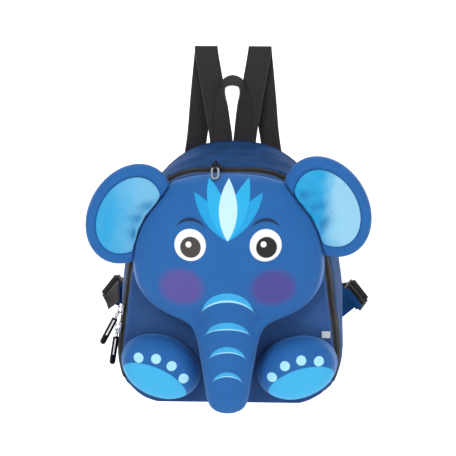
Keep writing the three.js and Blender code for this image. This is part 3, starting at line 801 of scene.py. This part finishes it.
# Head from the top down: z, half width, back, rim, face, ridge; turned so that z rises
HEAD_ROWS = np.array([
    (-121.5, 10.0, SEAT_Y, -50.5, -53.0, 0.0),
    (-123.0, 31.0, SEAT_Y, -52.0, -58.0, 0.0),
    (-126.0, 46.0, SEAT_Y, -54.0, -64.0, 0.0),
    (-130.0, 57.8, SEAT_Y, -55.0, -68.5, 0.0),
    (-138.0, 64.5, SEAT_Y, -56.0, -75.0, 0.0),
    (-147.5, 71.3, SEAT_Y, -57.0, -80.0, 0.0),
    (-164.5, 84.3, SEAT_Y, -58.0, -87.0, 0.0),
    (-181.5, 92.8, SEAT_Y, -58.0, -91.5, 0.5),
    (-198.7, 97.6, SEAT_Y, -58.0, -94.0, 3.0),
    (-215.8, 99.3, SEAT_Y, -58.0, -94.5, 7.0),
    (-233.0, 96.8, SEAT_Y, -58.0, -93.0, 11.5),
    (-246.0, 90.7, SEAT_Y, -58.0, -90.0, 15.5),
    (-257.0, 81.9, -48.6, -58.0, -86.5, 19.5),
    (-267.0, 66.2, -50.5, -60.0, -84.0, 22.0),
    (-273.0, 50.2, -53.5, -64.0, -86.0, 20.5),
    (-279.0, 38.5, -57.0, -70.0, -92.0, 14.5),
    (-291.0, 31.7, -61.0, -78.0, -103.0, 3.0),
    (-312.0, 27.4, -64.5, -82.0, -104.5, 0.0),
    (-333.0, 23.9, -68.0, -84.0, -103.0, 0.0),
    (-354.0, 20.6, -71.0, -85.0, -100.5, 0.0),
    (-361.0, 18.0, -73.0, -85.5, -98.5, 0.0),
    (-366.0, 13.5, -76.0, -86.0, -95.5, 0.0),
    (-368.5, 8.0, -80.0, -86.5, -92.0, 0.0),
])[::-1]
RIDGE_WIDTH = 30.0
FACE_POWER = 0.8
FLAT_POWER = 0.35
ROOT_DENTS = [(-31.0, -268.0), (31.0, -268.0)]
ROOT_DENT_DEPTH, ROOT_DENT_SEMI = 5.5, (7.0, 8.0)
# Upper and lower height of a stretch of the head, and the rings in it
HEAD_STRETCHES = [
    (-121.5, -131.0, 16), (-131.0, -255.0, 70), (-255.0, -295.0, 36), (-295.0, -355.0, 34),
    (-355.0, -368.5, 16),
]
# Points of a ring over the face and behind it, and how much closer they stand at the rim
FACE_STEPS, BEHIND_STEPS = 105, 21
RIM_CROWDING = 0.75
SEAM_WIDTH = 1.7


def build_head(material):
    stretches = [np.linspace(high, low, rings)[:-1] for high, low, rings in HEAD_STRETCHES]
    zs = np.concatenate([*stretches, [HEAD_STRETCHES[-1][1]]])
    half, back, rim, face, ridge = (column[:, None] for column in smooth_rows(HEAD_ROWS, zs).T)
    z = zs[:, None]
    share = np.linspace(0, 1, FACE_STEPS)
    angle = math.pi * (share - RIM_CROWDING * np.sin(math.tau * share) / math.tau)
    cos, sin = np.cos(angle)[None, :], np.sin(angle)[None, :]
    x = half * cos
    rise = (face - rim) * sin**FACE_POWER - ridge * bump_at(x, RIDGE_WIDTH) * sin
    away_rim = np.abs(rise)
    seam = bump_at(away_rim, SEAM_WIDTH)
    inner = sin**1.5
    for at_x, at_z in ROOT_DENTS:
        rise = rise + ROOT_DENT_DEPTH * bell(x - at_x, z - at_z, ROOT_DENT_SEMI) * inner
    rise = rise + inner * (0.5 * ripples(51, 6, 60.0, x, z) + 0.18 * ripples(52, 6, 20.0, x, z))
    rise = rise + 0.35 * bump_at(away_rim - 4.0, 3.0) * ripples(53, 5, 11.0, z + 0 * x)
    x = x + np.sign(cos) * (1.0 * seam - 0.5 * bump_at(away_rim - 3.6, 1.3))
    front = np.stack([x, rim + rise, z + 0 * x], -1)
    angle = np.linspace(math.pi, math.tau, BEHIND_STEPS)[1:-1][None, :]
    depth = (back - rim) * np.abs(np.sin(angle)) ** FLAT_POWER
    behind = np.stack([half * np.cos(angle), rim + depth, z + 0 * angle], -1)
    # The seam mark carries a painted highlight along the rim bead
    marks = {"seam": np.concatenate([seam, 0 * behind[..., 0]], 1)}
    rings = np.concatenate([front, behind], 1)
    add_padded("head_padded", "head", rings, material, marks)


HEAD_ROOM = 1.1
LEAST_REACH = 1.0
REACH_STEPS = 721
REACH_FAR, REACH_STRIDE = 80.0, 0.2


def head_reach(centre):
    """How far it is from a point beside the head to the head's side, by direction."""
    toward = np.linspace(-math.pi, math.pi, REACH_STEPS)
    far = np.arange(0.0, REACH_FAR, REACH_STRIDE)
    x = centre[0] + np.cos(toward)[:, None] * far
    z = centre[1] + np.sin(toward)[:, None] * far
    half = np.interp(z, HEAD_ROWS[:, 0], HEAD_ROWS[:, 1], left=0.0, right=0.0)
    hit = np.abs(x) < half + HEAD_ROOM
    return toward, np.where(hit.any(1), far[hit.argmax(1)], far[-1])


def pillow_rings(shape, rows, steps, reach=None, blend=40.0):
    """Leaning ellipses, one for each row of semi axes, depth and tuck, stopped short of the head.

    The blend is the power of the soft turn from the ellipse to the line beside the head.
    """
    angle = np.linspace(0, math.tau, steps, endpoint=False)
    lean = math.radians(shape["turn"])
    right, up = shape["centre"]
    rings = []
    for semi_long, semi_wide, y, tuck in rows:
        along, across = semi_long * np.cos(angle), semi_wide * np.sin(angle)
        x = along * math.cos(lean) - across * math.sin(lean)
        z = along * math.sin(lean) + across * math.cos(lean)
        if reach is not None:
            limit = np.maximum(np.interp(np.arctan2(z, x), *reach) - tuck, LEAST_REACH)
            share = (1 + (np.hypot(x, z) / limit) ** blend) ** (-1 / blend)
            x, z = x * share, z * share
        rings.append(np.stack([right + x, np.full_like(x, y), up + z], -1))
    return np.array(rings)


def pillow_rows(semi, table, count):
    """Semi axes, depth and tuck from rows of inset, depth and tuck, evenly spaced on their curve."""
    rows = np.array([(semi[0] - inset, semi[1] - inset, y, tuck) for inset, y, tuck in table])
    run = length_so_far(rows[:, :3])
    return smooth_rows(np.column_stack([run, rows]), np.linspace(0, run[-1], count))


# Painted sheen highlight on the satin: its start, end and strength; dents: places from the ear's
# middle and directions
EARS = [
    {
        "side": "left", "centre": (-103.8, -164.0), "turn": 60.0, "pale": (-30.0, 22.0, 0.42),
        "dents": [(13.0, -5.0, -20.0), (8.0, -21.0, -35.0), (21.0, 10.0, 10.0)],
    },
    {
        "side": "right", "centre": (102.3, -154.6), "turn": 120.0, "pale": (-12.0, 14.0, 0.72),
        "dents": [(-9.0, 2.0, 205.0), (-4.0, -16.0, 240.0), (-24.0, 13.0, 190.0)],
    },
]
EAR_SEMI = (56.3, 42.7)
LINING_SEMI = (42.7, 30.7)
# Inset from the ear's edge, depth, tuck from the head
EAR_ROWS = [
    (4.0, SEAT_Y, 0.0), (1.0, -50.0, 0.0), (0.0, -54.0, 0.0),
    (1.2, -58.5, 0.2), (4.5, -61.5, 0.5), (9.0, -62.5, 0.8),
]
# Inset from the lining's edge, depth, tuck from the head
POCKET_ROWS = [(-0.9, -62.5, 0.9), (-0.45, -62.2, 1.0), (-0.3, -61.4, 1.1), (0.4, -60.3, 1.4)]
LINING_ROWS = [
    (0.6, -60.7, 1.6), (0.1, -61.6, 1.3), (0.1, -62.6, 1.2), (-0.5, -63.1, 1.2),
    (-0.3, -63.5, 1.4), (3.2, -64.6, 2.8), (8.0, -66.0, 6.5), (15.0, -67.2, 12.0),
    (23.0, -67.8, 18.0), (29.5, -68.0, 23.0),
]
EAR_RINGS, POCKET_RINGS, LINING_RINGS = 26, 8, 48
EAR_STEPS = 220
EAR_RADIUS = 50.0
LINING_BLEND = 16.0
# Half length and half width of a dent, and of the creased cloth round it
DENT_SEMI, CREASE_SEMI = (11.0, 5.5), (22.0, 15.0)


def build_ear(ear, ear_material, satin):
    reach = head_reach(ear["centre"])
    outer = pillow_rows(EAR_SEMI, EAR_ROWS, EAR_RINGS)
    pocket = pillow_rows(LINING_SEMI, POCKET_ROWS, POCKET_RINGS)
    border = pillow_rings(ear, np.vstack([outer, pocket]), EAR_STEPS, reach)
    x, y, z = (border[..., k] for k in range(3))
    run = np.unwrap(np.arctan2(z - ear["centre"][1], x - ear["centre"][0]), axis=1) * EAR_RADIUS
    puff = np.clip((-y - 54.0) / 8.0, 0, 1)
    y += puff * (0.25 * ripples(61, 5, 26.0, x, z) + 0.15 * ripples(62, 4, 9.0, run))
    # The seam mark on the pocket rings carries painted shade in the groove round the lining
    marks = {"seam": np.zeros_like(y)}
    marks["seam"][-POCKET_RINGS:] = 1.0
    side = ear["side"]
    add_padded("ear_padded_" + side, "ear_" + side, border, ear_material, marks)

    rows = pillow_rows(LINING_SEMI, LINING_ROWS, LINING_RINGS)
    rings = pillow_rings(ear, rows, EAR_STEPS, reach, LINING_BLEND)
    x, y, z = (rings[..., k] for k in range(3))
    right, up = x - ear["centre"][0], z - ear["centre"][1]
    puff = np.clip((-y - 63.6) / 2.4, 0, 1)
    dent, near = np.zeros_like(y), np.zeros_like(y)
    for at_right, at_up, degrees in ear["dents"]:
        along, across = turned(right, up, (at_right, at_up), degrees)
        dent += bell(along, across, DENT_SEMI)
        near += bell(along, across, CREASE_SEMI)
    fold = ripples(63, 5, 15.0, right, up) * np.clip(near, 0, 1)
    y += puff * (3.0 * dent + 0.7 * fold + 0.2 * ripples(65, 5, 30.0, x, z))
    # The dent mark carries painted shade into the dents
    marks = {"dent": np.clip(dent, 0, 1) * puff}
    add_padded("ear_satin_" + side, "ear_lining_" + side, rings, satin, marks)


FEET = [
    {"side": "left", "centre": (-72.0, -328.0), "turn": -25.0},
    {"side": "right", "centre": (72.4, -327.5), "turn": 20.0},
]
FOOT_SEMI = (42.8, 32.8)
FOOT_ROWS = [
    (3.0, SEAT_Y, 0.0), (0.5, -52.0, 0.0), (0.0, -58.0, 0.0), (1.5, -66.0, 0.0),
    (6.0, -73.5, 0.0), (13.0, -78.5, 0.0), (22.0, -81.0, 0.0), (30.0, -81.8, 0.0),
]
FOOT_RINGS, FOOT_STEPS = 60, 200
FOOT_SEAM_Y = -57.0
FOOT_RADIUS = 38.0


def build_foot(foot, material):
    rings = pillow_rings(foot, pillow_rows(FOOT_SEMI, FOOT_ROWS, FOOT_RINGS), FOOT_STEPS)
    x, y, z = (rings[..., k] for k in range(3))
    puff = np.clip((-y - 60.0) / 12.0, 0, 1)
    seam = bump_at(y - FOOT_SEAM_Y, 1.6)
    right, up = foot["centre"]
    beside = bump_at(np.abs(y - FOOT_SEAM_Y) - 3.4, 1.2)
    spread = 1 + (0.9 * seam - 0.4 * beside) / FOOT_RADIUS
    rings[..., 0] = right + (x - right) * spread
    rings[..., 2] = up + (z - up) * spread
    y += puff * (0.5 * ripples(71, 6, 34.0, x, z) + 0.2 * ripples(72, 6, 13.0, x, z))
    name, node = "foot_padded_" + foot["side"], "foot_" + foot["side"]
    # The seam mark carries a painted highlight along the seam bead
    add_padded(name, node, rings, material, {"seam": seam})


# Straps, handle and hard pieces

STRAP_WIDTH, STRAP_THICKNESS = 25.0, 1.7
HANDLE_WIDTH, HANDLE_THICKNESS = 18.0, 1.6
LEVEL = (1.0, 0.0, 0.0)
# Strap on the +X side: place, direction of its width
STRAP_ROUTE = [
    ((12.8, 50.4, -122.0), LEVEL),
    ((12.8, 50.9, -103.0), LEVEL),
    ((20.8, 51.4, -52.0), LEVEL),
    ((28.6, 51.5, -6.0), LEVEL),
    ((29.0, 52.3, -2.1), LEVEL),
    ((29.1, 54.5, -0.9), LEVEL),
    ((29.2, 56.7, -2.1), LEVEL),
    ((29.4, 57.5, -6.0), LEVEL),
    ((34.6, 60.0, -55.0), (0.96, -0.27, 0.0)),
    ((40.4, 62.8, -105.0), (0.86, -0.5, 0.05)),
    ((51.2, 67.4, -165.0), (0.92, -0.33, 0.2)),
    ((68.0, 73.0, -218.0), (0.9, -0.1, 0.42)),
    ((88.0, 78.0, -262.0), (0.7, 0.05, 0.7)),
    ((108.0, 80.0, -282.0), (0.15, 0.1, 0.98)),
    ((126.0, 76.0, -279.0), (-0.5, 0.05, 0.85)),
]
BUCKLE_TURN = math.radians(52.0)
BUCKLE_LEAN = math.radians(60.0)
# Strap's way round the buckle's bars: distance along it, height over its middle plane, drop
THREADING = [
    (27.0, 9.0, 0.0), (25.2, 3.5, 0.0), (23.6, -0.8, 0.0), (21.2, -3.1, 0.0), (18.3, -3.0, 0.0),
    (16.2, -1.9, 0.0), (15.6, 0.0, 0.0), (15.0, 1.9, 0.0), (12.9, 3.0, 0.0), (11.3, 3.0, 0.0),
    (9.2, 1.9, 0.0), (8.6, 0.0, 0.0), (8.2, -2.6, 0.0),
]
SHORT_END = [(7.4, -5.6, 0.0), (4.5, -7.6, 0.0)]
LONG_END = [
    (6.8, -5.4, 0.0), (3.0, -6.7, 0.0), (-2.0, -7.6, 1.5), (-7.0, -8.4, 5.0), (-11.0, -9.2, 10.0),
]
# Turn of the strap's width toward the vertical for each millimetre that its end drops
LOOSE_TWIST = 0.18
BUCKLES = [
    {"side": "left", "sign": -1, "at": (-128.2, 40.0, -274.5), "loose_end": LONG_END},
    {"side": "right", "sign": 1, "at": (131.5, 40.0, -277.5), "loose_end": SHORT_END},
]
HANDLE_Y = 48.4
# Left half of the handle: place, direction of its width
HANDLE_ROUTE = [
    ((-9.8, HANDLE_Y, -122.0), (-1.0, 0.0, 0.0)),
    ((-9.8, HANDLE_Y, -103.0), (-1.0, 0.0, 0.0)),
    ((-11.2, HANDLE_Y - 2.2, -82.0), (-0.95, 0.3, 0.0)),
    ((-12.0, HANDLE_Y - 5.4, -61.0), (-0.75, 0.66, 0.0)),
    ((-10.8, HANDLE_Y - 7.8, -46.8), (-0.3, 0.93, 0.15)),
    ((-8.4, HANDLE_Y - 9.0, -38.6), (-0.12, 0.9, 0.4)),
    ((0.0, HANDLE_Y - 9.4, -35.4), (0.0, 0.86, 0.5)),
]
# Half of the webbing's section, in half widths and half thicknesses
WEBBING_SIDE = [(1.0, 0.3), (0.985, 0.75), (0.95, 1.0), (0.7, 1.0), (0.35, 1.0)]
# Share of the half width past which the webbing is selvedge, which carries a painted highlight
SELVEDGE = 0.97
ROUTE_STEPS = 14
NEAR_ZERO = 1e-4
MIRROR = np.array((-1.0, 1.0, 1.0))


def smooth_route(points):
    """Centripetal spline through points."""
    points = np.asarray(points, float)
    ends = np.vstack([2 * points[0] - points[1], points, 2 * points[-1] - points[-2]])
    t = np.linspace(0, 1, ROUTE_STEPS, endpoint=False)[:, None]
    spans = []
    for k in range(len(points) - 1):
        a, b, c, d = ends[k:k + 4]
        legs = (b - a, c - b, d - c)
        before, here, after = (math.sqrt(np.linalg.norm(leg)) for leg in legs)
        here = here if here > NEAR_ZERO else 1.0
        before = before if before > NEAR_ZERO else here
        after = after if after > NEAR_ZERO else here
        leave = ((b - a) / before - (c - a) / (before + here) + (c - b) / here) * here
        reach = ((c - b) / here - (d - b) / (here + after) + (d - c) / after) * here
        spans.append(cubic(t, b, c, leave, reach))
    return np.vstack(spans + [points[-1:]])


def ribbon(name, route, width, thickness, material):
    """Flat webbing along a route, with rounded selvedges."""
    at = smooth_route([row[0] for row in route])
    across = smooth_route([row[1] for row in route])
    tangent = np.gradient(at, axis=0)
    tangent /= np.linalg.norm(tangent, axis=1)[:, None]
    across -= tangent * (across * tangent).sum(1)[:, None]
    across /= np.linalg.norm(across, axis=1)[:, None]
    over = np.cross(tangent, across)
    side = np.array(WEBBING_SIDE)
    top = np.vstack([side, [(0.0, 1.0)], side[::-1] * (-1, 1)])
    section = np.vstack([top, top[::-1] * (1, -1)]) * (width / 2, thickness / 2)
    wide, thick = section[None, :, :1], section[None, :, 1:]
    rings = at[:, None] + across[:, None] * wide + over[:, None] * thick
    length = np.linalg.norm(np.diff(at, axis=0), axis=1).sum()
    selvedge = np.abs(section[:, 0]) > SELVEDGE * width / 2
    marks = {"selvedge": np.broadcast_to(selvedge * 1.0, rings.shape[:2])}
    return add_grid(name, rings, material, marks=marks, sharp_deg=60.0), length


def buckle_axes(sign):
    """Directions of a buckle's length, height and width."""
    out = np.array((sign * math.sin(BUCKLE_TURN), 0.0, math.cos(BUCKLE_TURN)))
    back = np.array((0.0, 1.0, 0.0))
    wide = np.array((sign * math.cos(BUCKLE_TURN), 0.0, -math.sin(BUCKLE_TURN)))
    long = out * math.cos(BUCKLE_LEAN) + back * math.sin(BUCKLE_LEAN)
    over = back * math.cos(BUCKLE_LEAN) - out * math.sin(BUCKLE_LEAN)
    return long, over, wide


def build_straps(material):
    down = np.array((0.0, 0.0, -1.0))
    for buckle in BUCKLES:
        side = buckle["side"]
        turn = MIRROR if buckle["sign"] < 0 else np.ones(3)
        route = [(np.array(at) * turn, np.array(across) * turn) for at, across in STRAP_ROUTE]
        long, over, wide = buckle_axes(buckle["sign"])
        for along, up, drop in THREADING + buckle["loose_end"]:
            place = np.array(buckle["at"]) + long * along + over * up + down * drop
            route.append((place, -wide - down * drop * LOOSE_TWIST))
        name = "strap_webbing_" + side
        strap, length = ribbon(name, route, STRAP_WIDTH, STRAP_THICKNESS, material)
        settle(strap, ["strap_" + side])
    route = [(np.array(at), np.array(across)) for at, across in HANDLE_ROUTE]
    route += [(at * MIRROR, across * MIRROR) for at, across in route[-2::-1]]
    handle, length = ribbon("handle_webbing", route, HANDLE_WIDTH, HANDLE_THICKNESS, material)
    settle(handle, ["handle"])


# Edges of the hard pieces are rounded past this angle
ROUNDED_FROM = math.radians(35.0)
BEVEL_SEGMENTS = 3
WELD_DISTANCE = 1e-6


def dressed(node, name, material, bevel):
    """Piece with a CAD node's own faces, its outer edges rounded."""
    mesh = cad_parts[node].data.copy()
    mesh.name = name
    mesh.materials.clear()
    shape = bmesh.new()
    shape.from_mesh(mesh)
    bmesh.ops.remove_doubles(shape, verts=shape.verts, dist=WELD_DISTANCE)
    outer = [edge for edge in shape.edges if edge.calc_face_angle_signed(0.0) > ROUNDED_FROM]
    bmesh.ops.bevel(
        shape, geom=outer, offset=bevel * MM, offset_type="OFFSET", segments=BEVEL_SEGMENTS,
        profile=0.6, affect="EDGES", clamp_overlap=True,
    )
    bmesh.ops.triangulate(shape, faces=shape.faces)
    return settle(finished(name, mesh, shape, material), [node])


# Edge rounding in millimetres
ROUNDING = {"buckle": 0.6, "tab": 0.7, "slider": 0.5, "pull": 0.35, "label": 0.15}
# Clips of the side sliders: their middle and direction in the picture plane
CLIPS = [
    {"name": "upper", "centre": (-128.3, -292.7), "turn": 62.1},
    {"name": "lower", "centre": (-123.3, -315.0), "turn": 81.0},
]


def build_slider(place, metal, pull_metal):
    slider, pull = "slider_plated_" + place, "pull_plated_" + place
    dressed("slider_" + place, slider, metal, ROUNDING["slider"])
    dressed("pull_" + place, pull, pull_metal, ROUNDING["pull"])


def build_hardware(plastic, metal, tag, navy):
    for side in ("left", "right"):
        name = "buckle_moulded_" + side
        dressed("buckle_" + side, name, plastic, ROUNDING["buckle"])
        tab = dressed("strap_tab_" + side, "tab_cloth_" + side, navy, ROUNDING["tab"])
    for clip in CLIPS:
        build_slider(clip["name"], metal, clip_finish(clip))
    dark = metal_done(metal_finish("dark_metal", "2b2b2e", "3a3a3e"))
    build_slider("brow", dark, brow_pull_finish())
    dressed("side_label", "label_bare", tag, ROUNDING["label"])


# Stage

TARGET = (-3.2, 0.0, -189.6)
CAMERA_DISTANCE = 2000.0
CAMERA_AZIMUTH = math.radians(2.5)
CAMERA_ELEVATION = math.radians(12.0)
SENSOR_MM = 36.0
VIEW_WIDTH = 489.3
FLOOR_Z = -760.0
# Camera's far limit and half the floor's side, in metres
CLIP_END, FLOOR_HALF = 200.0, 60.0


def aim(obj, target):
    heading = target - obj.location
    obj.rotation_euler = heading.to_track_quat("-Z", "Y").to_euler()


def build_camera():
    data = bpy.data.cameras.new("camera")
    data.sensor_width = SENSOR_MM
    data.lens = SENSOR_MM * CAMERA_DISTANCE / VIEW_WIDTH
    data.clip_end = CLIP_END
    camera = placed("camera", data)
    target = Vector(to_frame(TARGET))
    flat = math.cos(CAMERA_ELEVATION)
    toward = Vector((
        math.sin(CAMERA_AZIMUTH) * flat, -math.cos(CAMERA_AZIMUTH) * flat, math.sin(CAMERA_ELEVATION)
    ))
    camera.location = target + toward * CAMERA_DISTANCE * MM
    aim(camera, target)
    scene.camera = camera


# Name, place in metres, point it faces, width, height, watts
LAMPS = [
    ("key", (-0.7, -1.6, 0.7), (0.0, -0.1, -0.2), 0.9, 0.9, 16.0),
    ("fill", (1.1, -1.4, 0.1), (0.0, -0.1, -0.2), 1.0, 1.0, 7.5),
    ("top", (0.1, -0.5, 1.2), (0.0, -0.1, -0.2), 0.9, 0.7, 4.0),
    ("rim_left", (-1.3, 1.6, -0.35), (-0.12, -0.06, -0.27), 0.6, 1.0, 30.0),
    ("rim_right", (1.3, 1.6, -0.35), (0.12, -0.06, -0.27), 0.6, 1.0, 30.0),
    ("backdrop", (0.0, 6.5, 3.5), (0.0, 6.5, -0.76), 14.0, 9.0, 900.0),
]
WORLD_STRENGTH = 0.38


def build_stage():
    for name, place, faces, width, height, watts in LAMPS:
        data = bpy.data.lights.new(name, "AREA")
        data.shape = "RECTANGLE"
        data.size, data.size_y, data.energy = width, height, watts
        lamp = placed(name, data)
        lamp.location = place
        aim(lamp, Vector(faces))
        lamp.visible_camera = False
    world = bpy.data.worlds.new("studio")
    world.use_nodes = True
    sky = world.node_tree.nodes["Background"]
    feed(sky.inputs["Color"], (1.0, 1.0, 1.0, 1.0))
    feed(sky.inputs["Strength"], WORLD_STRENGTH)
    scene.world = world
    finish = Finish("pale_floor", "f6f6f6", 0.9)
    finish.layer(soft_step(finish.noise(400.0), 0.3, 0.7) * 0.3, "f2f2f3")
    material = finish.done()
    mesh = bpy.data.meshes.new("floor")
    signs = ((-1, -1), (1, -1), (1, 1), (-1, 1))
    corners = [(x * FLOOR_HALF, y * FLOOR_HALF, FLOOR_Z * MM) for x, y in signs]
    mesh.from_pydata(corners, [], [(0, 1, 2, 3)])
    mesh.materials.append(material)
    placed("floor", mesh)
    scene.view_settings.view_transform = "Standard"
    scene.view_settings.look = "None"


# Build

# The gusset's navy is the front panel's cloth made darker as painted shade; the bottom strip and tabs
# share it
navy = navy_finish("navy_cloth", "0c3b6c", "245494", 0.4)
back_navy = navy_finish("navy_back", "133263", "1a3d74", 0.0)
front_navy = navy_finish("navy_front", "33568c", "3d639b", 0.0)
build_gusset(navy)
build_panel("front", front_navy)
build_panel("back", back_navy)
build_zip(zip_finish())
build_bottom(navy)
build_head(head_finish())
ear_blue = ear_finish()
for ear in EARS:
    build_ear(ear, ear_blue, satin_finish(ear))
for foot in FEET:
    build_foot(foot, foot_finish(foot))
build_straps(webbing_finish())
build_hardware(
    plastic_finish(),
    metal_done(metal_finish("plated_metal", "b4b7bc", "94979c")),
    label_finish(),
    navy,
)
build_camera()
build_stage()

bpy.context.view_layer.update()
